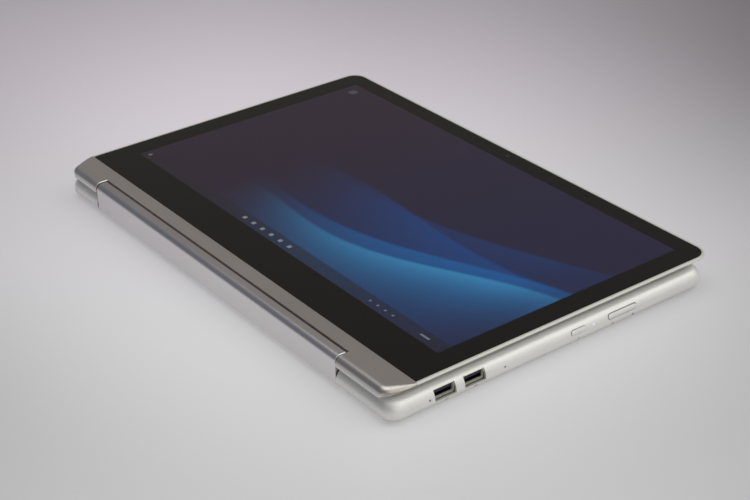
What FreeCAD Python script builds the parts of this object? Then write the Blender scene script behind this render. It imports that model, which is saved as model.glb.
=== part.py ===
# Convertible laptop computer, folded back as a tablet: the keyboard deck lies on the table, the glass faces up.
# Millimetres. X runs along the hinge (ports on +X), Y from the hinge to the front edge, Z up from the table.
import FreeCAD, Part
import math
import os

V = FreeCAD.Vector

# Casing
case_width = 325.0            # left side to right side
case_depth = 220.0            # rear edge to the lid's front edge
base_thickness = 12.9         # deck face to underside, without the feet
lid_thickness = 5.6           # lid back to glass
tablet_gap = 1.6              # lid back to base underside, folded as a tablet
closed_gap = 0.6              # glass to deck, folded shut
rear_corner_radius = 8.6      # plan corners of the base beside the hinge
lid_corner_radius = 7.0       # plan corners of the lid beside the hinge
lid_corner_turn = 28.0        # degrees that a wider round turns from the side into that corner
front_corner_radius = 10.0    # plan corners at the front
base_front_inset = 2.4        # base's front edge behind the lid's
base_wall = 1.4
base_edge_radius = 7.5        # large round along the side of the underside cover
base_low_radius = 5.0         # round along the side of the deck face
base_nose_radius = 6.4        # the same under the rear edge, beside the spine
deck_rim_height = 3.0         # seam between deck and underside cover
deck_plate = 1.6
seam_groove = 0.3             # width and depth, where deck and underside cover meet
lid_wall = 1.1
lid_rim = 1.5                 # metal rim beside the glass
lid_rear_wall = 1.2
lid_taper = 5.5               # lid back drawn in from the rim at the sides and front
rim_height = 1.2              # upright rim above that slope
rim_chamfer = 0.4             # bright cut edge beside the glass
edge_flat = 0.2               # least flat left between two rounds
fuse_overlap = 0.1            # where two shapes of one solid meet
cut_margin = 1.0              # cuts run this far past a face

# Hinge spine
spine_from_left = 36.0        # casing side to the end of the spine
spine_from_right = 45.0
spine_step = 0.4              # spine's top and rear inside the lid's
spine_radius = 4.1            # spine's front round about each hinge axis
spine_low_radius = 2.0        # round along the spine's lower rear edge
spine_end_chamfer = 0.3
spine_wall = 0.45
axis_from_rear = 4.1          # hinge axes from the casing's rear edge
lid_axis_height = 2.6         # upper hinge axis above the lid back
spine_clearance = 0.4         # spine to the notch in the lid
base_swing_room = 0.8         # spine to the notch in the base
spine_end_gap = 0.8
block_length = 12.0
shaft_radius = 1.1
bearing_clearance = 0.05
knuckle_length = 18.0
knuckle_wall = 0.35
knuckle_gap = 1.0             # casing's end wall to knuckle
knuckle_room = 0.2            # relief in the casing's rear wall around the knuckle
bracket_leaf = 1.2
lid_leaf = 0.8
base_leaf_depth = 10.1
leaf_gap = 0.3                # lid leaf to the strip's front wall
hinge_screw_inset = 5.0       # from the ends of a leaf
gear_teeth = 10
gear_width = 3.0
gear_gap = 0.3                # gear to hinge block
pressure_angle = 25.0
gear_backlash = 0.06
tooth_top = 0.8               # addendum in modules
tooth_root = 1.05             # dedendum in modules
flank_steps = 3
idler_pin_radius = 0.7
idler_pin_grip = 6.0
idler_pin_end = 0.3

# Display
strip_width = 17.6            # silver strip, lid's rear edge to glass
strip_seam = 1.3              # strip's lower edge above the lid back
strip_edge_radius = 4.1       # round along the rear top edge
strip_skin = 1.0
strip_end_chamfer = 0.35      # edge of the strip beside the spine's ends
seam_gap = 0.1
glass_thickness = 1.0
glass_rear_radius = 0.6       # glass corners beside the strip
border_thickness = 0.1
side_bezel = 14.0             # glass edge to the lit area, each side
front_bezel = 11.0            # the same, far from the hinge
chin = 24.5                   # the same, hinge side
panel_margin_side = 3.5
panel_margin_front = 2.5
panel_margin_rear = 9.0
panel_board_depth = 8.0
panel_board_length = 200.0
panel_board_thickness = 2.6
panel_board_gap = 0.5
webcam_length = 60.0
webcam_depth = 4.0
webcam_board = 1.2
webcam_height = 1.8           # board's lower face to the glass border
webcam_radius = 1.7
camera_window_radius = 1.4

# Keyboard and touchpad
keyboard_from_side = 20.0
key_gap = 3.0                 # between neighbouring caps
row_pitch = 18.6
function_row_pitch = 10.4
key_corner_radius = 1.2
key_chamfer = 0.35
key_recess = 0.35             # caps below the deck face
key_thickness = 1.4
key_travel = 1.2
key_clearance = 0.4
key_stem_radius = 1.3
key_stem_length = 1.8
key_guide_wall = 0.9
key_guide_height = 0.9
stem_clearance = 0.1
stroke_room = 0.15
keyboard_plate_thickness = 0.9
keyboard_skirt = 2.0
skirt_margin = 1.0
membrane_thickness = 0.2
keyboard_from_rear = 25.0
touchpad_width = 105.0
touchpad_from_front = 18.2
touchpad_thickness = 1.0
touchpad_recess = 0.25
touchpad_clearance = 0.4
touchpad_from_keys = 9.0
touchpad_radius = 2.0
pad_pivot_width = 2.0
pad_pivot_inset = 1.0
pad_room = 1.0                # touchpad to its bracket
pad_bracket = 0.8
pad_skirt = 2.0
pad_margin = 2.0
pad_switch_radius = 2.0
pad_switch_gap = 0.5
pivot_gap = 0.1

# Sockets and buttons, places along the sides measured from the casing's rear edge
usb_width = 12.5
usb_height = 5.12
usb_shell = 0.3
usb_corner_radius = 0.4
usb_length = 14.0
usb_mouth_recess = 2.1
usb_tongue_thickness = 1.84
usb_tongue_width = 11.1
usb_tongue_recess = 1.0
usb_tongue_gap = 0.6
usb_first = 34.9
usb_pitch = 18.9
port_clearance = 0.15
hdmi_width = 14.0
hdmi_height = 4.55
hdmi_shell = 0.45
hdmi_corner_radius = 0.5
hdmi_length = 11.5
hdmi_tongue_width = 11.0
hdmi_tongue_thickness = 0.9
hdmi_at = 56.0
usb_c_width = 8.34
usb_c_height = 2.56
usb_c_shell = 0.3
usb_c_length = 7.5
usb_c_tongue_width = 6.6
usb_c_tongue_thickness = 0.7
usb_c_at = 76.0
socket_recess = 2.1
tongue_recess = 0.6
audio_bore_radius = 1.8
audio_nose_radius = 2.6
audio_body_width = 6.4
audio_length = 14.0
audio_at = 77.6               # from the base's front edge
power_bore_radius = 2.3
power_pin_radius = 0.5
power_pin_recess = 2.0
power_nose_radius = 2.8
power_body_width = 7.0
power_length = 12.0
power_at = 35.0
round_socket_back = 1.5
nose_length = 4.5
pinhole_radius = 0.6
pinholes_at = (25.0, 73.0)
pinhole_height = 6.7
button_height = 2.6
button_center_height = 8.1
power_button_length = 10.0
power_button_at = 123.1
rocker_length = 20.0
rocker_at = 154.1
button_clearance = 0.2
rocker_clearance = 0.35
button_proud = 0.45           # button faces beyond the casing's round
button_flange = 0.8
flange_thickness = 0.8
switch_height = 2.0
switch_gap = 0.5
switch_width = 3.0
rocker_switch_offset = 6.0
button_board_thickness = 1.0
button_board_margin = 3.0
button_board_height = 6.0
status_light_radius = 0.8
status_light_at = 133.8
light_clearance = 0.1

# Inside the base
board_thickness = 0.9
board_gap = 0.15              # board to the cover's inner face
board_room = 1.0              # boards to the hinge leaves and screw posts
port_board_end = 5.0          # port board past the audio jack
board_screw_inset = 4.0
board_depth = 66.5            # main board, hinge side to front side
board_side_room = 8.5         # boards' outer edge from the casing side
main_board_from_fan = 7.0
port_board_width = 27.0
processor_size = 28.0
processor_thickness = 1.2
processor_from_left = 72.0    # main board's left edge to the processor's middle
processor_from_rear = 50.0    # from the spine's rear face
drive_size = (80.0, 22.0, 2.2)
drive_from_side = 100.5
drive_from_rear = 65.0
wireless_size = (22.0, 30.0, 2.0)
wireless_from_side = 92.5
wireless_from_rear = 26.0
cold_plate_size = 34.0
pipe_width = 8.0
pipe_thickness = 1.4
pipe_height = 5.4             # pipe's lower face above the deck face
pipe_start = 12.0             # pipe's end past the processor's middle
pipe_bend_from_start = 62.0
fan_size = 52.0
fan_from_side = 67.5          # casing side to the fan's axis
fan_gap = 2.5                 # fins to the fan housing
fan_floor = 5.6
fan_wall = 0.8
fan_mouth_wall = 2.0          # beside the outlet
impeller_radius = 22.0
impeller_hub = 8.0
impeller_clearance = 0.5
scroll_room = 1.0             # housing's round wall beyond that
fan_inlet_radius = 17.0
fan_axle_radius = 1.2
blade_count = 19
blade_thickness = 0.8
blade_root = 1.0              # blade's length inside the hub
fin_count = 22
fin_thickness = 0.4
fin_length = 44.0
fin_depth = 9.0
fin_plate = 0.5
battery_gap = 10.0            # battery to the speakers
battery_depth = 60.0
battery_thickness = 6.0
battery_corner_radius = 2.0
battery_from_front = 16.0
speaker_size = (24.0, 33.0, 6.0)
speaker_from_side = 16.5
speaker_from_front = 22.0

# Openings in the underside, feet and fasteners
vent_width = 1.6
vent_length = 30.0
vent_pitch = 4.0
grille_pitch = 3.0
grille_length = 14.0
grille_width = 1.2
grille_count = 9
foot_length = 36.0
foot_width = 7.0
foot_seat = 0.3
foot_edge_radius = 0.25
foot_from_side = 52.5
foot_from_rear = 18.0
foot_from_front = 14.0
screw_radius = 0.9
screw_head_radius = 1.9
screw_head_height = 0.7
screw_head_recess = 0.1
screw_slot_width = 0.5
screw_slot_depth = 0.3
screw_length = 6.0
screw_clearance = 0.1
post_radius = 3.0
post_from_side = 11.0
post_from_rear = 17.0
post_middle = 98.0
post_from_front = 11.0
rear_post_x = 45.0
rear_post_from_rear = 14.0
small_screw_radius = 0.7
small_screw_head = 1.5
small_screw_head_height = 0.6
small_screw_bite = 0.8

# Display cable through the right hinge
cable_radius = 0.45
cable_clearance = 0.1
cable_bend = 2.0
cable_run = 1.5               # straight out of each shaft before its bend
cable_join = 0.5              # past the pinions, where its three stretches meet
cable_rise_from_board = 4.5   # board's rear edge to where the cable turns up to it

# Keys of each row in key pitches, from the function row to the space bar row
KEY_ROWS = (
    (1.0,) * 15,
    (1.0,) * 13 + (2.0,),
    (1.5,) + (1.0,) * 12 + (1.5,),
    (1.75,) + (1.0,) * 11 + (2.25,),
    (2.25,) + (1.0,) * 10 + (2.75,),
    (1.25, 1.0, 1.0, 1.0, 5.75, 1.0, 1.0, 1.0, 1.0, 1.0),
)
ARROW_COLUMN = 8              # place in the last row of the two half-height arrow keys

# Places worked out from the sizes above
half_width = case_width / 2
rear_y = -case_depth / 2
front_y = case_depth / 2
base_front_y = front_y - base_front_inset
spine_left_x = -half_width + spine_from_left
spine_right_x = half_width - spine_from_right
spine_x = (spine_left_x + spine_right_x) / 2
spine_length = spine_right_x - spine_left_x
spine_rear_y = rear_y + spine_step
hinge_y = rear_y + axis_from_rear
notch_y = hinge_y + spine_radius + spine_clearance
base_notch_y = hinge_y + spine_radius + base_swing_room
notch_x = spine_length / 2 + spine_end_gap    # from the spine's middle
base_ceiling = base_thickness - base_wall
lid_back_z = base_thickness + tablet_gap
lid_floor_z = lid_back_z + lid_wall
glass_z = lid_back_z + lid_thickness
strip_z = lid_back_z + strip_seam
strip_y = rear_y + strip_width
rim_z = glass_z - rim_height
strip_round = min(strip_edge_radius, glass_z - strip_z - edge_flat)
spine_top_z = glass_z - spine_step
axis_spacing = (base_thickness + lid_thickness + tablet_gap + closed_gap) / 2
lid_axis_z = lid_back_z + lid_axis_height
base_axis_z = lid_axis_z - axis_spacing
foot_height = tablet_gap - closed_gap
gear_radius = axis_spacing / 6
knuckle_radius = shaft_radius + knuckle_wall
plan_round = min(front_corner_radius, rear_corner_radius) - base_wall / 2
side_round = min(base_edge_radius, plan_round)
corner_turn = math.radians(lid_corner_turn)
corner_sweep = (strip_width - lid_corner_radius) / math.sin(corner_turn)    # wide round beyond the tight one
corner_x = half_width - lid_corner_radius - corner_sweep * (1 - math.cos(corner_turn))
low_round = min(base_low_radius, base_thickness - side_round - edge_flat, plan_round)
base_leaf_y = base_notch_y + base_wall
board_y = base_leaf_y + base_leaf_depth + board_room
board_z = base_ceiling - board_gap - board_thickness
usb_z = board_z - usb_shell - usb_height / 2
inner_x = half_width - side_round
button_root_x = inner_x + switch_height + switch_gap
key_pitch = (case_width - 2 * keyboard_from_side) / sum(KEY_ROWS[0])
keyboard_y = rear_y + keyboard_from_rear
keyboard_depth = function_row_pitch + row_pitch * (len(KEY_ROWS) - 1)
keyboard_width = key_pitch * sum(KEY_ROWS[0])
key_under_z = key_recess + key_thickness
plate_z = key_under_z + key_travel + stroke_room + key_guide_height
membrane_z = plate_z + keyboard_plate_thickness
pad_y = keyboard_y + keyboard_depth + touchpad_from_keys
touchpad_depth = base_front_y - touchpad_from_front - pad_y
pad_under_z = touchpad_recess + touchpad_thickness
pad_bracket_z = pad_under_z + pad_room
glass_y0 = strip_y + seam_gap
glass_y1 = front_y - lid_rim - seam_gap
glass_x = half_width - lid_rim - seam_gap
active_width = 2 * (glass_x - side_bezel)
active_y0 = glass_y0 + chin
active_y1 = glass_y1 - front_bezel
glass_under_z = glass_z - glass_thickness
panel_top_z = glass_under_z - border_thickness
webcam_y = (active_y1 + panel_margin_front + front_y - lid_rim) / 2
knuckle_x = notch_x + base_wall + knuckle_gap    # from the spine's middle
knuckle_end_x = knuckle_x + knuckle_length
lid_leaf_y0 = notch_y + lid_wall
lid_leaf_y1 = strip_y - lid_wall - leaf_gap
lid_leaf_screw_y = (lid_leaf_y0 + lid_leaf_y1) / 2
base_leaf_screw_y = base_leaf_y + base_leaf_depth - hinge_screw_inset
panel_board_y = active_y0 - panel_margin_rear - panel_board_gap - panel_board_depth / 2
gear_x = spine_length / 2 - block_length - gear_gap - gear_width    # from the spine's middle
cable_x = spine_x + knuckle_end_x + cable_run + cable_bend
cable_join_x = spine_x + gear_x - cable_join
fin_y = base_leaf_y + seam_gap
fan_x = -half_width + fan_from_side
fan_y = fin_y + fin_depth + fan_gap + fan_size / 2
main_board_left = fan_x + fan_size / 2 + main_board_from_fan
processor_x = main_board_left + processor_from_left
processor_y = rear_y + processor_from_rear
drive_x = half_width - drive_from_side
wireless_x = half_width - wireless_from_side
battery_length = case_width - 2 * (speaker_from_side + speaker_size[0] + battery_gap)
SIDES = (-1, 1)                # left and right

CASE_SCREWS = [(s * (half_width - post_from_side), y)
               for s in SIDES
               for y in (rear_y + post_from_rear, rear_y + post_middle, base_front_y - post_from_front)]
CASE_SCREWS += [(s * rear_post_x, rear_y + rear_post_from_rear) for s in SIDES]
CASE_SCREWS += [(0.0, base_front_y - post_from_front)]
FEET = [(s * (half_width - foot_from_side), y)
        for s in SIDES for y in (rear_y + foot_from_rear, base_front_y - foot_from_front)]
USB_PLACES = [rear_y + usb_first, rear_y + usb_first + usb_pitch]
audio_y = base_front_y - audio_at


# Shared shapes
def box(x0, x1, y0, y1, z0, z1):
    return Part.makeBox(x1 - x0, y1 - y0, z1 - z0, V(x0, y0, z0))


def rod_x(x0, x1, y, z, radius):
    return Part.makeCylinder(radius, x1 - x0, V(x0, y, z), V(1, 0, 0))


def rod_z(x, y, z0, z1, radius):
    return Part.makeCylinder(radius, z1 - z0, V(x, y, z0))


def arc_loop(arcs, place):
    """Closed outline through arcs, each a centre, a radius and two angles, with straight lines between them."""
    runs = []
    for across, along, radius, start, end in arcs:
        points = []
        for angle in (start, (start + end) / 2, end):
            turn = math.radians(angle)
            points.append(place(across + radius * math.cos(turn), along + radius * math.sin(turn)))
        runs.append(points)
    edges = []
    for number, points in enumerate(runs):
        edges.append(Part.Arc(*points).toShape())
        end = points[-1]
        start = runs[(number + 1) % len(runs)][0]
        if end.distanceToPoint(start) > 1e-6:
            edges.append(Part.LineSegment(end, start).toShape())
    return Part.Wire(edges)


def outline(x0, x1, y0, y1, z, rear_radius, front_radius):
    """Plan outline at a height, with rounded corners."""
    arcs = (
        (x1 - rear_radius, y0 + rear_radius, rear_radius, -90, 0),
        (x1 - front_radius, y1 - front_radius, front_radius, 0, 90),
        (x0 + front_radius, y1 - front_radius, front_radius, 90, 180),
        (x0 + rear_radius, y0 + rear_radius, rear_radius, 180, 270),
    )
    return arc_loop(arcs, lambda x, y: V(x, y, z))


def slab(x0, x1, y0, y1, z0, z1, rear_radius, front_radius):
    """Plate between two heights, with rounded plan corners."""
    return Part.Face(outline(x0, x1, y0, y1, z0, rear_radius, front_radius)).extrude(V(0, 0, z1 - z0))


def slab_x(x0, x1, y0, y1, z0, z1, radius):
    """The same plate lying across X, rounded in the plane of Y and Z."""
    plate = slab(y0, y1, z0, z1, x0, x1, radius, radius)
    plate.Placement = FreeCAD.Placement(V(0, 0, 0), FreeCAD.Rotation(V(1, 1, 1), 120))
    return plate


def pill_z(x, y, z0, z1, length, width):
    return slab(x - length / 2, x + length / 2, y - width / 2, y + width / 2, z0, z1, width / 2, width / 2)


def pill_x(x0, x1, y, z, length, height):
    return slab_x(x0, x1, y - length / 2, y + length / 2, z - height / 2, z + height / 2, height / 2)


def edges_at(shape, z):
    return [e for e in shape.Edges if abs(e.BoundBox.ZMin - z) < 1e-4 and abs(e.BoundBox.ZMax - z) < 1e-4]


def fuse(first, *others):
    return first.fuse(list(others)).removeSplitter()


def mirror_x(shape):
    return shape.mirror(V(0, 0, 0), V(1, 0, 0))


def on_side(shape, side):
    """A shape made for the right side, or its mirror image for the left."""
    return shape if side > 0 else mirror_x(shape)


def hinge_side(shape, side):
    """A hinge piece drawn about the spine's middle, at the spine's right end or mirrored to its left."""
    return on_side(shape, side).translated(V(spine_x, 0, 0))


def save(name, *solids):
    shape = solids[0] if len(solids) == 1 else Part.makeCompound(solids)
    count = len(shape.Solids)
    assert shape.isValid() and count == len(solids), "%s has %d solids" % (name, count)
    shape.exportStep("parts/%s.step" % name)


# Casing shells
def notch(grow, edge_y, z0, z1):
    """Space for the spine at the rear edge of lid or base, up to a front edge."""
    return box(spine_x - notch_x - grow, spine_x + notch_x + grow, rear_y - cut_margin, edge_y + grow, z0, z1)


def plan(inset, z0, z1):
    """The base's plan outline, drawn in by an inset."""
    return slab(-half_width + inset, half_width - inset, rear_y + inset, base_front_y - inset, z0, z1,
                rear_corner_radius - inset, front_corner_radius - inset)


def rear_corner(radius, edge_z, up, wall):
    """What lies outside a round along the rear top edge (up 1) or bottom edge (up -1), grown in by a wall."""
    middle_z = edge_z - up * radius
    end_z = edge_z + up * cut_margin
    reach = half_width + cut_margin
    corner = box(-reach, reach, rear_y - cut_margin, rear_y + radius,
                 min(middle_z, end_z), max(middle_z, end_z))
    return corner.cut(rod_x(-reach - cut_margin, reach + cut_margin, rear_y + radius, middle_z, radius - wall))


def base_nose(wall):
    return rear_corner(base_nose_radius, 0, -1, wall)


def base_envelope():
    """The base's outer form: a large round along the underside's edge, a smaller one along the deck's."""
    body = plan(0, 0, base_thickness)
    body = body.makeFillet(side_round, edges_at(body, base_thickness))
    body = body.makeFillet(low_round, edges_at(body, 0))
    return body.cut(base_nose(0))


def base_layer(z0, z1):
    """All of the base between two heights."""
    return plan(-cut_margin, z0, z1)


def low_round_draw(z):
    """How far the round along the deck's edge stands in from the side at a height."""
    rise = max(0, low_round - z)
    return low_round - math.sqrt(low_round ** 2 - rise ** 2)


def seam_ring():
    top = deck_rim_height + seam_groove
    inside = plan(low_round_draw(deck_rim_height) + seam_groove, deck_rim_height, top)
    return base_layer(deck_rim_height, top).cut(inside)


def base_cavity():
    core = plan(base_wall, deck_rim_height, base_ceiling)
    core = core.makeFillet(side_round - base_wall, edges_at(core, base_ceiling))
    return core.cut([notch(base_wall, base_notch_y, 0, base_thickness), base_nose(base_wall)])


def port_cut(y, z, width, height, side):
    half = width / 2 + port_clearance
    rise = height / 2 + port_clearance
    cut = box(inner_x - base_wall, half_width + cut_margin, y - half, y + half, z - rise, z + rise)
    return on_side(cut, side)


def round_cut(y, z, radius, side):
    return on_side(rod_x(inner_x - base_wall, half_width + cut_margin, y, z, radius), side)


def button_cut(y, length, clearance):
    return pill_x(button_root_x, half_width + cut_margin, y, button_center_height, length + 2 * clearance,
                  button_height + 2 * clearance)


def vent_cuts():
    count = int(2 * fan_inlet_radius / vent_pitch)
    first = fan_x - (count - 1) * vent_pitch / 2
    return [slab(first + i * vent_pitch - vent_width / 2, first + i * vent_pitch + vent_width / 2,
                 fan_y - vent_length / 2, fan_y + vent_length / 2,
                 base_ceiling - cut_margin, base_thickness + cut_margin, vent_width / 2, vent_width / 2)
            for i in range(count)]


def exhaust_cuts():
    count = int(fin_length / vent_pitch)
    first = fan_x - (count - 1) * vent_pitch / 2
    low = pipe_height + pipe_thickness
    return [box(first + i * vent_pitch - vent_width / 2, first + i * vent_pitch + vent_width / 2,
                base_notch_y - cut_margin, base_leaf_y + cut_margin, low, base_ceiling - base_wall)
            for i in range(count)]


def speaker_box_place(side):
    x1 = half_width - speaker_from_side
    y1 = base_front_y - speaker_from_front
    return side * (x1 - speaker_size[0] / 2), y1 - speaker_size[1] / 2


def grille_cuts():
    cuts = []
    for side in SIDES:
        x, y = speaker_box_place(side)
        for i in range(grille_count):
            row = y + (i - (grille_count - 1) / 2) * grille_pitch
            cuts.append(pill_z(x, row, base_ceiling - cut_margin, base_thickness + cut_margin,
                               grille_length, grille_width))
    return cuts


def main_board_screws():
    y0 = board_y + board_screw_inset
    y1 = board_y + board_depth - board_screw_inset
    left = main_board_left + board_screw_inset
    return [(left, y0), (left, y1), (drive_x - board_screw_inset, y1), (wireless_x - board_screw_inset, y0)]


def port_board_screws():
    x = -half_width + board_side_room + port_board_width - board_screw_inset
    return [(x, board_y + board_screw_inset), (x, audio_y - board_screw_inset)]


def leaf_screw_offsets():
    """Screws of a hinge leaf, measured from the spine's middle."""
    return knuckle_x + hinge_screw_inset, knuckle_end_x - hinge_screw_inset


def leaf_screws(y):
    return [(spine_x + s * x, y) for s in SIDES for x in leaf_screw_offsets()]


def make_bottom_cover(envelope):
    shell = envelope.common(base_layer(deck_rim_height, base_thickness + cut_margin))
    shell = shell.cut([base_cavity(), seam_ring(), notch(0, base_notch_y, 0, base_thickness + cut_margin)])
    shell = fuse(shell, *[rod_z(x, y, base_ceiling - board_gap, base_ceiling, small_screw_head)
                          for x, y in main_board_screws() + port_board_screws()])
    cuts = vent_cuts() + exhaust_cuts() + grille_cuts()
    for x, y in CASE_SCREWS:
        cuts.append(rod_z(x, y, base_ceiling - cut_margin, base_thickness + cut_margin,
                          screw_radius + screw_clearance))
        cuts.append(rod_z(x, y, base_thickness - screw_head_height, base_thickness + cut_margin,
                          screw_head_radius + screw_clearance))
    for x, y in main_board_screws() + port_board_screws() + leaf_screws(base_leaf_screw_y):
        cuts.append(rod_z(x, y, base_ceiling - board_gap - cut_margin, base_ceiling + small_screw_bite,
                          small_screw_radius))
    for x, y in FEET:
        cuts.append(pill_z(x, y, base_thickness - foot_seat, base_thickness + cut_margin,
                           foot_length, foot_width))
    for y in USB_PLACES:
        cuts.append(port_cut(y, usb_z, usb_width + 2 * usb_shell, usb_height + 2 * usb_shell, 1))
    cuts.append(port_cut(rear_y + hdmi_at, hdmi_z(), hdmi_width + 2 * hdmi_shell,
                         hdmi_height + 2 * hdmi_shell, -1))
    cuts.append(port_cut(rear_y + usb_c_at, usb_c_z(), usb_c_width + 2 * usb_c_shell,
                         usb_c_height + 2 * usb_c_shell, -1))
    cuts.append(round_cut(audio_y, round_socket_z(audio_body_width),
                          audio_nose_radius + port_clearance, -1))
    cuts.append(round_cut(rear_y + power_at, round_socket_z(power_body_width),
                          power_nose_radius + port_clearance, -1))
    for place in pinholes_at:
        cuts.append(round_cut(rear_y + place, pinhole_height, pinhole_radius, 1))
    cuts.append(round_cut(rear_y + status_light_at, button_center_height,
                          status_light_radius + light_clearance, 1))
    cuts.append(button_cut(rear_y + power_button_at, power_button_length, button_clearance))
    cuts.append(button_cut(rear_y + rocker_at, rocker_length, rocker_clearance))
    for side in SIDES:
        cuts.append(hinge_side(rod_x(notch_x - cut_margin, notch_x + base_wall + cut_margin,
                                     hinge_y, base_axis_z, shaft_radius + screw_clearance), side))
        cuts.append(hinge_side(rod_x(notch_x + base_wall, knuckle_end_x + knuckle_gap, hinge_y, base_axis_z,
                                     knuckle_radius + knuckle_room), side))
    return shell.cut(cuts)


def key_places():
    """Each row's caps as centre, width and depth."""
    rows = []
    y = keyboard_y
    for number, widths in enumerate(KEY_ROWS):
        pitch = function_row_pitch if number == 0 else row_pitch
        caps = []
        x = -keyboard_width / 2
        for place, units in enumerate(widths):
            width = units * key_pitch
            if number == len(KEY_ROWS) - 1 and place == ARROW_COLUMN:
                for half in range(2):
                    middle = y + (2 * half + 1) * pitch / 4
                    caps.append((x + width / 2, middle, width - key_gap, pitch / 2 - key_gap / 2))
            else:
                caps.append((x + width / 2, y + pitch / 2, width - key_gap, pitch - key_gap))
            x += width
        rows.append(caps)
        y += pitch
    return rows


def cap_slab(x, y, width, depth, z0, z1, grow):
    return slab(x - width / 2 - grow, x + width / 2 + grow, y - depth / 2 - grow, y + depth / 2 + grow,
                z0, z1, key_corner_radius + grow, key_corner_radius + grow)


def make_keyboard_deck(envelope):
    outer = envelope.common(base_layer(-cut_margin, deck_rim_height))
    core = plan(base_wall + low_round_draw(deck_plate), deck_plate, deck_rim_height)
    core = core.cut([notch(base_wall, base_notch_y, 0, base_thickness), base_nose(base_wall)])
    deck = outer.cut([core, notch(0, base_notch_y, -cut_margin, base_thickness)])
    cuts = [cap_slab(*cap, -cut_margin, deck_plate + cut_margin, key_clearance)
            for row in key_places() for cap in row]
    cuts.append(slab(-touchpad_width / 2 - touchpad_clearance, touchpad_width / 2 + touchpad_clearance,
                     pad_y - touchpad_clearance, pad_y + touchpad_depth + touchpad_clearance,
                     -cut_margin, deck_plate + cut_margin, touchpad_radius, touchpad_radius))
    return deck.cut(cuts)


def make_screw_post(x, y):
    """Threaded post on the deck plate that takes a screw of the underside cover."""
    post = rod_z(x, y, deck_plate, base_ceiling, post_radius)
    tip = base_thickness - screw_head_height - screw_length
    return post.cut(rod_z(x, y, tip, base_ceiling + cut_margin, screw_radius))


# Keyboard and touchpad
def make_key_row(caps):
    solids = []
    for x, y, width, depth in caps:
        cap = cap_slab(x, y, width, depth, key_recess, key_under_z, 0)
        cap = cap.makeChamfer(key_chamfer, edges_at(cap, key_recess))
        stem = rod_z(x, y, key_under_z - fuse_overlap, key_under_z + key_stem_length, key_stem_radius)
        solids.append(fuse(cap, stem))
    return solids


def key_field(grow, z0, z1):
    return box(-keyboard_width / 2 - grow, keyboard_width / 2 + grow,
               keyboard_y - grow, keyboard_y + keyboard_depth + grow, z0, z1)


def make_keyboard_plate():
    """Backing plate with a skirt that stands on the deck and a guide for each key's stem."""
    outer = skirt_margin + keyboard_skirt
    places = [(x, y) for row in key_places() for x, y, width, depth in row]
    plate = key_field(outer, deck_plate, membrane_z)
    plate = plate.cut(key_field(skirt_margin, deck_plate - cut_margin, plate_z))
    guide_radius = key_stem_radius + stem_clearance + key_guide_wall
    plate = plate.fuse([rod_z(x, y, plate_z - key_guide_height, plate_z + fuse_overlap, guide_radius)
                        for x, y in places])
    hole_radius = key_stem_radius + stem_clearance
    return plate.cut([rod_z(x, y, plate_z - key_guide_height - cut_margin, membrane_z + cut_margin, hole_radius)
                      for x, y in places])


def make_keyboard_membrane():
    return key_field(skirt_margin, membrane_z, membrane_z + membrane_thickness)


def make_touchpad():
    half = touchpad_width / 2
    pad = slab(-half, half, pad_y, pad_y + touchpad_depth, touchpad_recess, pad_under_z,
               touchpad_radius, touchpad_radius)
    ridge_y = pad_y + pad_pivot_inset
    ridge = box(-half + pad_margin, half - pad_margin, ridge_y, ridge_y + pad_pivot_width,
                pad_under_z - fuse_overlap, pad_bracket_z - pivot_gap)
    return fuse(pad, ridge)


def make_touchpad_bracket():
    """Bridge over the touchpad with a skirt that stands on the deck and a click switch near the front."""
    half = touchpad_width / 2 + pad_margin
    y0 = pad_y - pad_margin
    y1 = pad_y + touchpad_depth + pad_margin
    top = pad_bracket_z + pad_bracket
    outer = box(-half - pad_skirt, half + pad_skirt, y0 - pad_skirt, y1 + pad_skirt, deck_plate, top)
    bridge = outer.cut(box(-half, half, y0, y1, deck_plate - cut_margin, pad_bracket_z))
    switch = rod_z(0, pad_y + touchpad_depth - pad_margin - pad_switch_radius, pad_under_z + pad_switch_gap,
                   pad_bracket_z + fuse_overlap, pad_switch_radius)
    return fuse(bridge, switch)


# Boards, cooling and power
def board_holes(screws):
    """Screw holes, and room for the screw posts, through a board."""
    low = board_z - cut_margin
    holes = [rod_z(x, y, low, base_ceiling, small_screw_radius + screw_clearance) for x, y in screws]
    return holes + [rod_z(x, y, low, base_ceiling, post_radius + board_room) for x, y in CASE_SCREWS]


def make_main_board():
    x1 = half_width - board_side_room
    board = box(main_board_left, x1, board_y, board_y + board_depth, board_z, board_z + board_thickness)
    half = processor_size / 2
    chip = box(processor_x - half, processor_x + half, processor_y - half, processor_y + half,
               board_z - processor_thickness, board_z)
    return fuse(board, chip).cut(board_holes(main_board_screws()))


def make_port_board():
    x0 = -half_width + board_side_room
    board = box(x0, x0 + port_board_width, board_y, audio_y + port_board_end,
                board_z, board_z + board_thickness)
    return board.cut(board_holes(port_board_screws()))


def make_board_module(size, x, from_rear):
    y = rear_y + from_rear
    return box(x, x + size[0], y, y + size[1], board_z - size[2], board_z)


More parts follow.
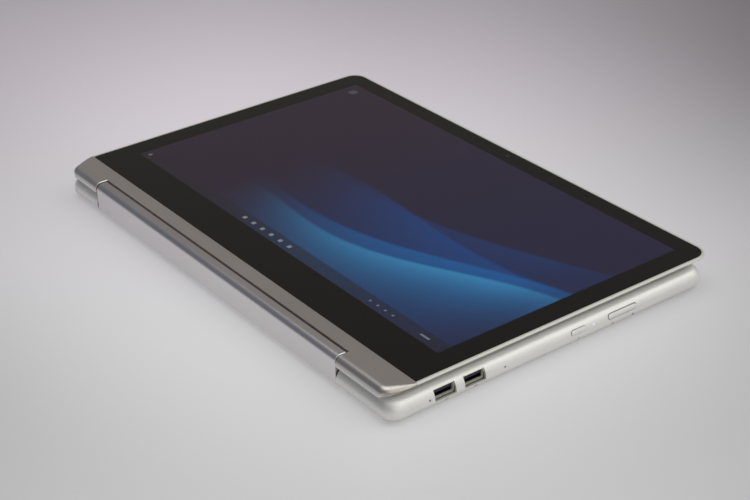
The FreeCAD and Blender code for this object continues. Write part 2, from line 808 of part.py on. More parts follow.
def make_heat_pipe():
    """Flat pipe from the cold plate, in two equal bends, to a run under the fins."""
    start_x = processor_x + pipe_start
    start_y = processor_y
    bend_x = start_x - pipe_bend_from_start
    end_y = fin_y + fin_depth / 2
    bend = (start_y - end_y) / 2
    z = pipe_height + pipe_thickness / 2
    leg = bend * math.sin(math.radians(45))
    first = V(bend_x, start_y - bend, z)
    second = V(bend_x - 2 * bend, start_y - bend, z)
    points = [V(start_x, start_y, z), V(bend_x, start_y, z), V(bend_x - bend, start_y - bend, z),
              V(second.x, end_y, z), V(fan_x - fin_length / 2, end_y, z)]
    path = Part.Wire([
        Part.LineSegment(points[0], points[1]).toShape(),
        Part.Arc(points[1], V(first.x - leg, first.y + leg, z), points[2]).toShape(),
        Part.Arc(points[2], V(second.x + leg, second.y - leg, z), points[3]).toShape(),
        Part.LineSegment(points[3], points[4]).toShape(),
    ])
    half = pipe_width / 2
    low = z - pipe_thickness / 2
    high = z + pipe_thickness / 2
    section = Part.makePolygon([V(start_x, start_y - half, low), V(start_x, start_y + half, low),
                                V(start_x, start_y + half, high), V(start_x, start_y - half, high),
                                V(start_x, start_y - half, low)])
    pipe = path.makePipeShell([section], True, False)
    size = cold_plate_size / 2
    plate = box(processor_x - size, processor_x + size, start_y - size, start_y + size,
                high - fuse_overlap, board_z - processor_thickness)
    return fuse(pipe, plate)


def make_cooling_fins():
    x0 = fan_x - fin_length / 2
    y0 = fin_y
    low = pipe_height + pipe_thickness
    stack = box(x0, x0 + fin_length, y0, y0 + fin_depth, low, low + fin_plate)
    step = (fin_length - fin_thickness) / (fin_count - 1)
    fins = [box(x0 + i * step, x0 + i * step + fin_thickness, y0, y0 + fin_depth, low, base_ceiling)
            for i in range(fin_count)]
    return fuse(stack, *fins)


def make_fan_housing():
    x = fan_x
    y = fan_y
    half = fan_size / 2
    casing = box(x - half, x + half, y - half, y + half, fan_floor, base_ceiling)
    room = impeller_radius + impeller_clearance + scroll_room
    casing = casing.cut(rod_z(x, y, fan_floor + fan_wall, base_ceiling - fan_wall, room))
    casing = casing.cut(rod_z(x, y, fan_floor + fan_wall, base_ceiling + cut_margin, fan_inlet_radius))
    mouth = box(x - half + fan_mouth_wall, x + half - fan_mouth_wall, y - half - cut_margin, y - room / 2,
                fan_floor + fan_wall, base_ceiling - fan_wall)
    casing = casing.cut(mouth)
    axle = rod_z(x, y, fan_floor + fan_wall - fuse_overlap, base_ceiling - 2 * fan_wall, fan_axle_radius)
    return fuse(casing, axle)


def make_fan_impeller():
    x = fan_x
    y = fan_y
    low = fan_floor + fan_wall + impeller_clearance
    high = base_ceiling - fan_wall - impeller_clearance
    hub = rod_z(x, y, low, high, impeller_hub)
    blade = box(x + impeller_hub - blade_root, x + impeller_radius,
                y - blade_thickness / 2, y + blade_thickness / 2, low, high)
    blades = []
    for i in range(blade_count):
        turned = blade.copy()
        turned.rotate(V(x, y, 0), V(0, 0, 1), i * 360 / blade_count)
        blades.append(turned)
    wheel = fuse(hub, *blades)
    return wheel.cut(rod_z(x, y, low - cut_margin, high + cut_margin, fan_axle_radius + bearing_clearance))


def make_battery():
    y1 = base_front_y - battery_from_front
    return slab(-battery_length / 2, battery_length / 2, y1 - battery_depth, y1,
                base_ceiling - battery_thickness, base_ceiling, battery_corner_radius, battery_corner_radius)


def make_speaker(side):
    x, y = speaker_box_place(side)
    w, d, h = speaker_size
    return box(x - w / 2, x + w / 2, y - d / 2, y + d / 2, base_ceiling - h, base_ceiling)


# Sockets
def hdmi_z():
    return board_z - hdmi_shell - hdmi_height / 2


def usb_c_z():
    return board_z - usb_c_shell - usb_c_height / 2


def round_socket_z(body):
    return board_z - body / 2


def shell_socket(y, z, width, height, shell, length, mouth, radius):
    """Metal shell of a plug socket on the right side, closed at its inner end."""
    outer = slab_x(mouth - length, mouth, y - width / 2 - shell, y + width / 2 + shell,
                   z - height / 2 - shell, z + height / 2 + shell, radius + shell)
    return outer.cut(slab_x(mouth - length + shell, mouth + cut_margin, y - width / 2, y + width / 2,
                            z - height / 2, z + height / 2, radius))


def make_usb_socket(y):
    return shell_socket(y, usb_z, usb_width, usb_height, usb_shell, usb_length, half_width - usb_mouth_recess,
                        usb_corner_radius)


def make_usb_tongue(y):
    mouth = half_width - usb_mouth_recess
    top = usb_z + usb_height / 2 - usb_tongue_gap
    return box(mouth - usb_length + usb_shell, mouth - usb_tongue_recess,
               y - usb_tongue_width / 2, y + usb_tongue_width / 2, top - usb_tongue_thickness, top)


def make_tongue_socket(y, z, width, height, shell, length, radius, tongue_width, tongue_thickness):
    """Left-side socket whose tongue stands in the middle of the shell."""
    mouth = half_width - socket_recess
    socket = shell_socket(y, z, width, height, shell, length, mouth, radius)
    tongue = box(mouth - length + shell / 2, mouth - tongue_recess, y - tongue_width / 2, y + tongue_width / 2,
                 z - tongue_thickness / 2, z + tongue_thickness / 2)
    return mirror_x(fuse(socket, tongue))


def make_round_socket(y, body, nose, bore, length):
    mouth = half_width - socket_recess
    z = round_socket_z(body)
    block = box(mouth - length - round_socket_back, mouth - nose_length, y - body / 2, y + body / 2,
                z - body / 2, z + body / 2)
    socket = fuse(block, rod_x(mouth - nose_length - fuse_overlap, mouth, y, z, nose))
    return mirror_x(socket.cut(rod_x(mouth - length, mouth + cut_margin, y, z, bore)))


def make_power_jack():
    y = rear_y + power_at
    jack = make_round_socket(y, power_body_width, power_nose_radius, power_bore_radius, power_length)
    mouth = half_width - socket_recess
    pin = mirror_x(rod_x(mouth - power_length - fuse_overlap, mouth - power_pin_recess, y,
                         round_socket_z(power_body_width), power_pin_radius))
    return fuse(jack, pin)


# Side buttons
def make_button(envelope, y, length):
    z = button_center_height
    pill = pill_x(button_root_x - fuse_overlap, half_width, y, z, length, button_height)
    nose = envelope.translated(V(button_proud, 0, 0)).common(pill)
    flange = pill_x(button_root_x - flange_thickness, button_root_x, y, z, length + 2 * button_flange,
                    button_height + 2 * button_flange)
    return fuse(flange, nose)


def make_button_board():
    y0 = rear_y + power_button_at - power_button_length / 2 - button_board_margin
    y1 = rear_y + rocker_at + rocker_length / 2 + button_board_margin
    face = inner_x - flange_thickness
    board = box(face - button_board_thickness, face, y0, y1, base_ceiling - button_board_height, base_ceiling)
    places = [power_button_at, rocker_at - rocker_switch_offset, rocker_at + rocker_switch_offset]
    switches = [box(face - fuse_overlap, face + switch_height,
                    rear_y + at - switch_width / 2, rear_y + at + switch_width / 2,
                    button_center_height - button_height / 2, button_center_height + button_height / 2)
                for at in places]
    return fuse(board, *switches)


def make_status_light(envelope):
    y = rear_y + status_light_at
    root = inner_x - flange_thickness
    rod = rod_x(root, half_width + cut_margin, y, button_center_height, status_light_radius)
    stub = rod_x(root, inner_x, y, button_center_height, status_light_radius)
    return fuse(envelope.common(rod), stub)


# Lid
def lid_outline(inset, z, rear):
    """The lid's plan outline, drawn in by an inset: beside the strip its sides sweep into tight corners."""
    tight = lid_corner_radius - inset
    wide = tight + corner_sweep
    front = front_corner_radius - inset
    x = half_width - inset
    y0 = rear_y + rear
    y1 = front_y - inset
    wide_y = y0 + tight + corner_sweep * math.sin(corner_turn)
    arcs = (
        (corner_x, y0 + tight, tight, -90, -lid_corner_turn),
        (x - wide, wide_y, wide, -lid_corner_turn, 0),
        (x - front, y1 - front, front, 0, 90),
        (front - x, y1 - front, front, 90, 180),
        (wide - x, wide_y, wide, 180, 180 + lid_corner_turn),
        (-corner_x, y0 + tight, tight, 180 + lid_corner_turn, 270),
    )
    return arc_loop(arcs, lambda across, along: V(across, along, z))


def lid_plan(inset, z0, z1, rear):
    return Part.Face(lid_outline(inset, z0, rear)).extrude(V(0, 0, z1 - z0))


def lid_slope(inset, z0, rear):
    """The lid under its rim, from a height up: sides and front slope out to the rim, drawn in by an inset."""
    ends = []
    for z in (z0, rim_z):
        draw = inset + lid_taper * (rim_z - z) / (rim_z - lid_back_z)
        ends.append(lid_outline(draw, z, rear))
    return Part.makeLoft(ends, True, True)


def lid_form():
    """The lid's outer form, square along its top edge."""
    return fuse(lid_slope(0, lid_back_z, 0), lid_plan(0, rim_z, glass_z, 0))


def strip_space():
    return box(-half_width - cut_margin, half_width + cut_margin, rear_y - cut_margin, strip_y,
               strip_z, glass_z + cut_margin)


def lid_cavity():
    top = glass_z + cut_margin
    room = fuse(lid_slope(lid_rim, lid_floor_z, lid_rear_wall), lid_plan(lid_rim, rim_z, top, lid_rear_wall))
    return room.cut(notch(lid_wall, notch_y, 0, top + cut_margin))


def make_lid_back_cover(form):
    """The lid's shell, with a bright cut edge on its rim."""
    cover = form.makeChamfer(rim_chamfer, edges_at(form, glass_z))
    cover = cover.cut([strip_space(), lid_cavity(), notch(0, notch_y, 0, glass_z + cut_margin)])
    return cover.cut([rod_z(x, y, lid_floor_z - small_screw_bite, lid_floor_z + cut_margin, small_screw_radius)
                      for x, y in leaf_screws(lid_leaf_screw_y)])


def strip_ear(side):
    """The strip beside the spine: a round along its rear edge narrows past the corner to the rim's cut edge."""
    end = spine_x + side * notch_x
    outer = side * half_width
    ear = lid_plan(0, strip_z, glass_z, 0)
    ear = ear.common(box(min(end, outer), max(end, outer), rear_y, strip_y, strip_z, glass_z))
    sweep = [e for e in edges_at(ear, glass_z)
             if hasattr(e.Curve, "Radius") and e.BoundBox.YMax > strip_y - 1e-3]
    narrowing = (strip_round, rim_chamfer)
    ear = ear.makeFillet(*narrowing[::side], sweep)
    edges = [e for e in ear.Edges
             if abs(e.CenterOfMass.x - end) < 1e-4 and e.CenterOfMass.z > glass_z - strip_round]
    return ear.makeChamfer(strip_end_chamfer, edges)


def make_hinge_strip(form):
    """The silver strip beside the glass, hollow for the hinge but for its rounded corners."""
    reach = notch_x + strip_end_chamfer
    bar = box(spine_x - reach, spine_x + reach, notch_y, strip_y, strip_z, glass_z)
    strip = fuse(bar, *[strip_ear(side).common(form) for side in SIDES])
    inside = box(-corner_x, corner_x, rear_y, strip_y - lid_wall, 0, glass_z - strip_skin)
    hollow = lid_cavity().common(inside).cut(rear_corner(strip_round, glass_z, 1, strip_skin))
    holes = [hinge_side(rod_x(notch_x - cut_margin, notch_x + lid_wall + cut_margin, hinge_y, lid_axis_z,
                              shaft_radius + screw_clearance), side) for side in SIDES]
    cable_hole = Part.makeCylinder(cable_radius + cable_clearance, 3 * lid_wall,
                                   V(cable_x, strip_y - 2 * lid_wall, lid_axis_z), V(0, 1, 0))
    return strip.cut([hollow, cable_hole] + holes)


def make_display_glass(z0, z1):
    radius = front_corner_radius - lid_rim - seam_gap
    return slab(-glass_x, glass_x, glass_y0, glass_y1, z0, z1, glass_rear_radius, radius)


def make_glass_border():
    ring = make_display_glass(panel_top_z, glass_under_z)
    low = panel_top_z - cut_margin
    window = box(-active_width / 2, active_width / 2, active_y0, active_y1, low, glass_z)
    return ring.cut([window, rod_z(0, webcam_y, low, glass_z, camera_window_radius)])


def make_lcd_panel():
    half = active_width / 2 + panel_margin_side
    return box(-half, half, active_y0 - panel_margin_rear, active_y1 + panel_margin_front,
               lid_floor_z, panel_top_z)


def make_webcam():
    """Camera board that hangs by its lens housing from the border under the glass."""
    low = panel_top_z - webcam_height
    board = box(-webcam_length / 2, webcam_length / 2, webcam_y - webcam_depth / 2, webcam_y + webcam_depth / 2,
                low, low + webcam_board)
    lens = rod_z(0, webcam_y, low + webcam_board - fuse_overlap, panel_top_z, webcam_radius)
    return fuse(board, lens)


def make_panel_board():
    return box(-panel_board_length / 2, panel_board_length / 2, panel_board_y - panel_board_depth / 2,
               panel_board_y + panel_board_depth / 2, lid_floor_z, lid_floor_z + panel_board_thickness)


# Hinge
def spine_section(wall, x0, x1):
    """The spine's section drawn in by a wall: round about both hinge axes in front, flat at the rear."""
    radius = spine_radius - wall
    rear = spine_rear_y + wall
    top = spine_top_z - wall
    low = base_axis_z - radius
    upper = strip_round - spine_step - wall
    lower = spine_low_radius - wall
    arcs = (
        (rear + lower, low + lower, lower, 180, 270),
        (hinge_y, base_axis_z, radius, 270, 360),
        (hinge_y, lid_axis_z, radius, 0, math.degrees(math.asin((top - lid_axis_z) / radius))),
        (rear + upper, top - upper, upper, 90, 180),
    )
    return Part.Face(arc_loop(arcs, lambda y, z: V(x0, y, z))).extrude(V(x1 - x0, 0, 0))


def make_spine():
    """Spine tube: an open channel, and the flat plate that closes its front."""
    x0 = spine_left_x
    x1 = spine_right_x
    tube = spine_section(0, x0, x1)
    ends = [e for e in tube.Edges if e.BoundBox.XLength < 1e-4]
    tube = tube.makeChamfer(spine_end_chamfer, ends)
    tube = tube.cut(spine_section(spine_wall, x0 - cut_margin, x1 + cut_margin))
    face = hinge_y + spine_radius
    opening = box(x0, x1, face - spine_wall, face, base_axis_z, lid_axis_z)
    return tube.cut(opening), opening


def idler_axes():
    return [base_axis_z + axis_spacing * share for share in (1 / 3, 2 / 3)]


def make_hinge_block(side):
    half = spine_length / 2
    block = spine_section(spine_wall, half - block_length, half)
    face = half - block_length
    holes = [rod_x(face - cut_margin, half + cut_margin, hinge_y, z, shaft_radius + bearing_clearance)
             for z in (base_axis_z, lid_axis_z)]
    holes += [rod_x(face - cut_margin, face + idler_pin_grip, hinge_y, z, idler_pin_radius)
              for z in idler_axes()]
    return hinge_side(block.cut(holes), side)


def make_gear(z, half_tooth_turned, bore_radius):
    """Involute gear on an axis along X; a tooth or a gap points straight up."""
    module = 2 * gear_radius / gear_teeth
    tip = gear_radius + tooth_top * module
    root = gear_radius - tooth_root * module
    slope = math.radians(pressure_angle)
    base = gear_radius * math.cos(slope)
    half_tooth = math.pi / (2 * gear_teeth) - gear_backlash / (2 * gear_radius)

    def half_angle(radius):
        reach = math.acos(min(1, base / radius))
        return half_tooth + math.tan(slope) - slope - (math.tan(reach) - reach)

    flank = [(root, half_angle(base))]
    flank += [(base + (tip - base) * i / flank_steps, half_angle(base + (tip - base) * i / flank_steps))
              for i in range(flank_steps + 1)]
    points = []
    for tooth in range(gear_teeth):
        middle = 2 * math.pi * (tooth + (0.5 if half_tooth_turned else 0)) / gear_teeth
        turns = [(radius, middle - angle) for radius, angle in flank]
        turns += [(radius, middle + angle) for radius, angle in reversed(flank)]
        points += [V(gear_x, hinge_y + radius * math.sin(a), z + radius * math.cos(a)) for radius, a in turns]
    gear = Part.Face(Part.makePolygon(points + points[:1])).extrude(V(gear_width, 0, 0))
    if bore_radius:
        gear = gear.cut(rod_x(gear_x - cut_margin, gear_x + gear_width + cut_margin, hinge_y, z, bore_radius))
    return gear


def make_shaft(z, half_tooth_turned, side):
    """Hinge shaft with its pinion; the right one is bored for the display cable."""
    shaft = fuse(make_gear(z, half_tooth_turned, 0), rod_x(gear_x, knuckle_end_x, hinge_y, z, shaft_radius))
    if side > 0:
        shaft = shaft.cut(rod_x(gear_x - cut_margin, knuckle_end_x + cut_margin, hinge_y, z,
                                cable_radius + cable_clearance))
    return hinge_side(shaft, side)


def make_idler(z, half_tooth_turned, side):
    return hinge_side(make_gear(z, half_tooth_turned, idler_pin_radius + bearing_clearance), side)


def make_idler_pin(z, side):
    face = spine_length / 2 - block_length
    return hinge_side(rod_x(gear_x - idler_pin_end, face + idler_pin_grip, hinge_y, z, idler_pin_radius), side)


def make_base_bracket(side):
    """Knuckle on the shaft, a riser and a leaf against the underside cover."""
    x0 = knuckle_x
    x1 = knuckle_end_x
    riser_y = base_leaf_y + bracket_leaf
    knuckle = rod_x(x0, x1, hinge_y, base_axis_z, knuckle_radius)
    arm = box(x0, x1, hinge_y, riser_y, base_axis_z - bracket_leaf / 2, base_axis_z + bracket_leaf / 2)
    riser = box(x0, x1, base_leaf_y, riser_y, base_axis_z, base_ceiling)
    leaf = box(x0, x1, base_leaf_y, base_leaf_y + base_leaf_depth, base_ceiling - bracket_leaf, base_ceiling)
    bracket = fuse(knuckle, arm, riser, leaf)
    bracket = bracket.cut(rod_x(x0 - cut_margin, x1 + cut_margin, hinge_y, base_axis_z, shaft_radius))
    holes = [rod_z(x, base_leaf_screw_y, base_axis_z, base_thickness, small_screw_radius + screw_clearance)
             for x in leaf_screw_offsets()]
    return hinge_side(bracket.cut(holes), side)


def make_lid_bracket(side):
    x0 = knuckle_x
    x1 = knuckle_end_x
    knuckle = rod_x(x0, x1, hinge_y, lid_axis_z, knuckle_radius)
    leaf = box(x0, x1, hinge_y, lid_leaf_y1, lid_floor_z, lid_floor_z + lid_leaf)
    post = box(x0, x1, hinge_y, hinge_y + knuckle_radius, lid_floor_z, lid_axis_z)
    bracket = fuse(knuckle, leaf, post)
    bracket = bracket.cut(rod_x(x0 - cut_margin, x1 + cut_margin, hinge_y, lid_axis_z, shaft_radius))
    holes = [rod_z(x, lid_leaf_screw_y, lid_floor_z - cut_margin, lid_axis_z,
                   small_screw_radius + screw_clearance) for x in leaf_screw_offsets()]
    return hinge_side(bracket.cut(holes), side)


# Display cable
def cable(points):
    """Round cable along straight runs joined by arcs of the cable's bend."""
    edges = []
    start = points[0]
    for before, corner, after in zip(points, points[1:], points[2:]):
        back = (before - corner).normalize()
        ahead = (after - corner).normalize()
        arc_start = corner + back * cable_bend
        arc_end = corner + ahead * cable_bend
        middle = corner + (back + ahead) * cable_bend * (1 - math.sin(math.radians(45)))
        edges.append(Part.LineSegment(start, arc_start).toShape())
        edges.append(Part.Arc(arc_start, middle, arc_end).toShape())
        start = arc_end
    edges.append(Part.LineSegment(start, points[-1]).toShape())
    section = Part.Wire(Part.makeCircle(cable_radius, points[0], points[1] - points[0]))
    return Part.Wire(edges).makePipeShell([section], True, False)


def make_cable_base():
    rise_y = board_y + cable_rise_from_board
    return cable([V(cable_join_x, hinge_y, base_axis_z), V(cable_x, hinge_y, base_axis_z),
                  V(cable_x, rise_y, base_axis_z), V(cable_x, rise_y, board_z)])


def make_cable_spine():
    turn = cable_join_x - cable_run - cable_bend
    return cable([V(cable_join_x, hinge_y, base_axis_z), V(turn, hinge_y, base_axis_z),
                  V(turn, hinge_y, lid_axis_z), V(cable_join_x, hinge_y, lid_axis_z)])


def make_cable_lid():
    return cable([V(cable_join_x, hinge_y, lid_axis_z), V(cable_x, hinge_y, lid_axis_z),
                  V(cable_x, panel_board_y, lid_axis_z), V(panel_board_length / 2, panel_board_y, lid_axis_z)])


# Fasteners and feet
def make_case_screw(x, y):
    seat = base_thickness - screw_head_height
    face = base_thickness - screw_head_recess
    head = rod_z(x, y, seat, face, screw_head_radius)
    head = head.cut(box(x - screw_head_radius, x + screw_head_radius,
                        y - screw_slot_width / 2, y + screw_slot_width / 2,
                        face - screw_slot_depth, base_thickness))
    return fuse(head, rod_z(x, y, seat - screw_length, seat + fuse_overlap, screw_radius))


def make_small_screw(x, y, seat, tip):
    """Pan-head screw whose head lies under its seat and whose point is up, or the other way up."""
    out = -small_screw_head_height if tip > seat else small_screw_head_height
    head = rod_z(x, y, min(seat, seat + out), max(seat, seat + out), small_screw_head)
    return fuse(head, rod_z(x, y, min(seat, tip), max(seat, tip), small_screw_radius))


def make_foot(x, y):
    foot = pill_z(x, y, base_thickness - foot_seat, base_thickness + foot_height, foot_length, foot_width)
    edge = min(foot_edge_radius, foot_height / 2)
    return foot.makeFillet(edge, edges_at(foot, base_thickness + foot_height))


def main():
    os.makedirs("parts", exist_ok=True)
    envelope = base_envelope()

    # Spine
    channel, front_plate = make_spine()
    save("spine_cover", channel)
    save("spine_front_plate", front_plate)
    save("hinge_blocks", *[make_hinge_block(side) for side in SIDES])
    lower_z, upper_z = idler_axes()
    save("idler_pins", *[make_idler_pin(z, side) for z in (lower_z, upper_z) for side in SIDES])
    save("idler_gears_lower", *[make_idler(lower_z, True, side) for side in SIDES])
    save("idler_gears_upper", *[make_idler(upper_z, False, side) for side in SIDES])
    save("display_cable_spine", make_cable_spine())

    # Base
    save("bottom_cover", make_bottom_cover(envelope))
    save("keyboard_deck", make_keyboard_deck(envelope))
    save("screw_posts", *[make_screw_post(x, y) for x, y in CASE_SCREWS])
    for number, caps in enumerate(key_places(), 1):
        save("key_row_%d" % number, *make_key_row(caps))
    save("keyboard_plate", make_keyboard_plate())
    save("keyboard_membrane", make_keyboard_membrane())
    save("touchpad", make_touchpad())
    save("touchpad_bracket", make_touchpad_bracket())
    save("main_board", make_main_board())
    save("port_board", make_port_board())
    save("solid_state_drive", make_board_module(drive_size, drive_x, drive_from_rear))
    save("wireless_card", make_board_module(wireless_size, wireless_x, wireless_from_rear))
    save("heat_pipe", make_heat_pipe())
    save("cooling_fins", make_cooling_fins())
    save("fan_housing", make_fan_housing())
    save("fan_impeller", make_fan_impeller())
    save("battery_pack", make_battery())
    save("speakers", *[make_speaker(side) for side in SIDES])
    save("usb_socket_rear", make_usb_socket(USB_PLACES[0]))
    save("usb_socket_front", make_usb_socket(USB_PLACES[1]))
    save("usb_tongues", *[make_usb_tongue(y) for y in USB_PLACES])
    save("hdmi_socket", make_tongue_socket(rear_y + hdmi_at, hdmi_z(), hdmi_width, hdmi_height, hdmi_shell,
                                           hdmi_length, hdmi_corner_radius, hdmi_tongue_width,
                                           hdmi_tongue_thickness))
    save("usb_c_socket", make_tongue_socket(rear_y + usb_c_at, usb_c_z(), usb_c_width, usb_c_height,
                                            usb_c_shell, usb_c_length, usb_c_height / 2, usb_c_tongue_width,
                                            usb_c_tongue_thickness))
    save("audio_jack", make_round_socket(audio_y, audio_body_width, audio_nose_radius,
                                         audio_bore_radius, audio_length))
    save("power_jack", make_power_jack())
    save("power_button", make_button(envelope, rear_y + power_button_at, power_button_length))
    save("volume_rocker", make_button(envelope, rear_y + rocker_at, rocker_length))
    save("button_board", make_button_board())
    save("status_light", make_status_light(envelope))
    save("rubber_feet", *[make_foot(x, y) for x, y in FEET])
    save("base_hinge_brackets", *[make_base_bracket(side) for side in SIDES])
    save("base_hinge_shafts", *[make_shaft(base_axis_z, False, side) for side in SIDES])
    save("case_screws", *[make_case_screw(x, y) for x, y in CASE_SCREWS])
    seats = [(place, board_z) for place in main_board_screws() + port_board_screws()]
    seats += [(place, base_ceiling - bracket_leaf) for place in leaf_screws(base_leaf_screw_y)]
    save("base_small_screws", *[make_small_screw(x, y, seat, base_ceiling + small_screw_bite)
                                for (x, y), seat in seats])
    save("display_cable_base", make_cable_base())

    # Lid
    form = lid_form()
    save("lid_back_cover", make_lid_back_cover(form))
    save("hinge_strip", make_hinge_strip(form))
    save("display_glass", make_display_glass(glass_under_z, glass_z))
    save("glass_border", make_glass_border())
    save("lcd_panel", make_lcd_panel())
    save("webcam_module", make_webcam())
    save("panel_board", make_panel_board())
    save("display_cable_lid", make_cable_lid())
    save("lid_hinge_brackets", *[make_lid_bracket(side) for side in SIDES])
    save("lid_hinge_shafts", *[make_shaft(lid_axis_z, True, side) for side in SIDES])
    save("lid_screws", *[make_small_screw(x, y, lid_floor_z + lid_leaf, lid_floor_z - small_screw_bite)
                         for x, y in leaf_screws(lid_leaf_screw_y)])


main()
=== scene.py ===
# Looks for a convertible laptop folded flat as a tablet: finishes, a lit screen and a plain studio.
import math

import bpy
from mathutils import Matrix, Vector


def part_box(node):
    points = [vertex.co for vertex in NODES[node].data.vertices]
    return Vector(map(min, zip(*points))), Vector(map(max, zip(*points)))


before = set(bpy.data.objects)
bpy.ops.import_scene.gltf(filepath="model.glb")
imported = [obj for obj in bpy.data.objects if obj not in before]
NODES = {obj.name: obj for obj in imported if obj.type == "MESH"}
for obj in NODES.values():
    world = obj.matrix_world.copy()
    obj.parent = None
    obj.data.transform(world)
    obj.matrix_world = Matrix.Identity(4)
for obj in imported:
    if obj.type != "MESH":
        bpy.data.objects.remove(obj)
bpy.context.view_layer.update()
MM = 0.001

# Camera, in millimetres and degrees
CAMERA_AT = (701.8, -506.8, 471.0)
CAMERA_AIM = (43.87, -29.42, 20.1)
CAMERA_LEAN = 1.693
LENS = 81.295
SENSOR_WIDTH = 36.0

# Studio: the table's share of paint and of its own glow, its tints, the soft light that fills the room from
# its dark side to its bright one, and the tones that mirror in metal and glass
TABLE_PAINT = 0.66
TABLE_GLOW = 0.50
TABLE_REACH = 4.0
TABLE_LEVEL = -0.0003
TABLE_NEAR_TINT = (0.995, 0.99, 1.0, 1.0)
TABLE_FAR_TINT = (1.03, 0.96, 1.04, 1.0)
# The table's tone near the object, and the least it falls to under its painted shade
TABLE_TONE = 0.648
TABLE_LEAST_TONE = 0.12
SKY_LOW = (0.42, 0.40, 0.42, 1.0)
SKY_HIGH = (0.205, 0.188, 0.172, 1.0)
ROOM_BRIGHT_SIDE = (0.80, 0.45, 0.25)
ROOM_LIGHT = (0.14, 0.76)
ROOM_TONES = (
    # towards, where the change starts and ends, colour
    ((-0.7, -0.6, 0.35), 0.45, 0.85, (0.13, 0.14, 0.16)),
    ((0.72, 0.45, 0.45), 0.25, 0.90, (0.82, 0.81, 0.77)),
)
LAMPS = (
    # name, place, aim, size, power, colour
    ("overhead", (-0.2, -0.2, 1.6), (0.0, 0.0, 0.0), (1.4, 1.2), 8.0, (1.0, 1.0, 1.0)),
    ("right_side", (0.75, 0.85, 1.25), (0.1, 0.0, 0.0), (1.2, 1.2), 3.8, (1.0, 0.98, 0.95)),
)

# The display's lit area inside the glass edge
SIDE_BEZEL = 14.0 * MM
CHIN = 24.5 * MM
FRONT_BEZEL = 11.0 * MM
ICON_BAR = 9.0 * MM
CORNER_MARK = 9.0 * MM
UNLIT_SCREEN = (0.004, 0.004, 0.006, 1.0)

# Cut edges beside the glass and at the strip's ends
RIM_CHAMFER = 0.4 * MM
CUT_COLOUR = (0.64, 0.635, 0.56)
CUT_ROUGHNESS = 0.33

# A socket's shell: how far in from its mouth it turns dark with painted shade, and over what depth
SOCKET_LIP = 0.9 * MM
SOCKET_SHADE = 1.2 * MM
SOCKET_PAINTED_SHADE = (0.006, 0.006, 0.007, 1.0)

# Half the height over which a tongue turns dark
TONGUE_CHANGE = 0.25 * MM

# Printed marks on the right side: middle along and up, half length and half height, in millimetres
PRINT_STRENGTH = 0.75
PRINT_COLOUR = (0.12, 0.12, 0.115, 1.0)
PRINT_CORNER = 0.1 * MM
SIDE_MARKS = (
    (-74.6, 3.4, 1.1, 0.25), (-56.1, 3.6, 1.1, 0.25),
    (13.0, 3.8, 0.25, 0.75),
    (37.2, 3.7, 0.85, 0.22),
    (51.7, 3.7, 0.85, 0.22), (51.7, 3.7, 0.22, 0.85),
)


# Node helpers
def add(tree, kind, **settings):
    node = tree.nodes.new("ShaderNode" + kind)
    for name, value in settings.items():
        setattr(node, name, value)
    return node


def feed(tree, socket, value):
    """Link an output into a socket, or write a plain value there."""
    if isinstance(value, bpy.types.NodeSocket):
        tree.links.new(value, socket)
    else:
        socket.default_value = value


def calc(tree, operation, *values, clamp=False):
    node = add(tree, "Math", operation=operation, use_clamp=clamp)
    for socket, value in zip(node.inputs, values):
        feed(tree, socket, value)
    return node.outputs[0]


def smooth(tree, value, low, high, to_low=0.0, to_high=1.0):
    node = add(tree, "MapRange", interpolation_type="SMOOTHSTEP")
    for socket, number in zip(node.inputs, (value, low, high, to_low, to_high)):
        feed(tree, socket, number)
    return node.outputs[0]


def noise(tree, place, scale, detail=2.0, rough=0.5):
    node = add(tree, "TexNoise")
    feed(tree, node.inputs["Vector"], place)
    feed(tree, node.inputs["Scale"], scale)
    node.inputs["Detail"].default_value = detail
    node.inputs["Roughness"].default_value = rough
    return node.outputs[0]


def mix_colour(tree, share, first, second, mode="MIX"):
    node = add(tree, "Mix", data_type="RGBA", blend_type=mode)
    feed(tree, node.inputs[0], share)
    feed(tree, node.inputs[6], first)
    feed(tree, node.inputs[7], second)
    return node.outputs[2]


def stretch(tree, place, scale):
    node = add(tree, "VectorMath", operation="MULTIPLY")
    feed(tree, node.inputs[0], place)
    node.inputs[1].default_value = scale
    return node.outputs[0]


def object_place(tree):
    return add(tree, "TexCoord").outputs["Object"]


def split(tree, place):
    node = add(tree, "SeparateXYZ")
    feed(tree, node.inputs[0], place)
    return node.outputs


def rgba(colour, factor=1.0):
    return tuple(min(1.0, c * factor) for c in colour) + (1.0,)


# Shared effects
def new_group(name, inputs, outputs):
    tree = bpy.data.node_groups.new(name, "ShaderNodeTree")
    for label, kind, value in inputs:
        socket = tree.interface.new_socket(label, in_out="INPUT", socket_type="NodeSocket" + kind)
        if value is not None:
            socket.default_value = value
    for label in outputs:
        tree.interface.new_socket(label, in_out="OUTPUT", socket_type="NodeSocketFloat")
    return tree, tree.nodes.new("NodeGroupInput").outputs, tree.nodes.new("NodeGroupOutput").inputs


def place_group(tree, group, **values):
    node = add(tree, "Group", node_tree=group)
    for label, value in values.items():
        feed(tree, node.inputs[label.replace("_", " ")], value)
    return node.outputs


def make_blasted_grain():
    """Fine pits of a blasted or moulded face, with a broad unevenness under them."""
    tree, given, out = new_group("Blasted grain", [("Place", "Vector", None), ("Pits", "Float", 2500.0),
                                                   ("Patches", "Float", 28.0)], ["Tone", "Gloss", "Height"])
    pits = noise(tree, given["Place"], given["Pits"], 2.0, 0.6)
    patches = noise(tree, given["Place"], given["Patches"], 3.0, 0.55)
    feed(tree, out["Tone"], calc(tree, "MULTIPLY_ADD", pits, 0.8, calc(tree, "MULTIPLY", patches, 0.2)))
    feed(tree, out["Gloss"], patches)
    feed(tree, out["Height"], pits)
    return tree


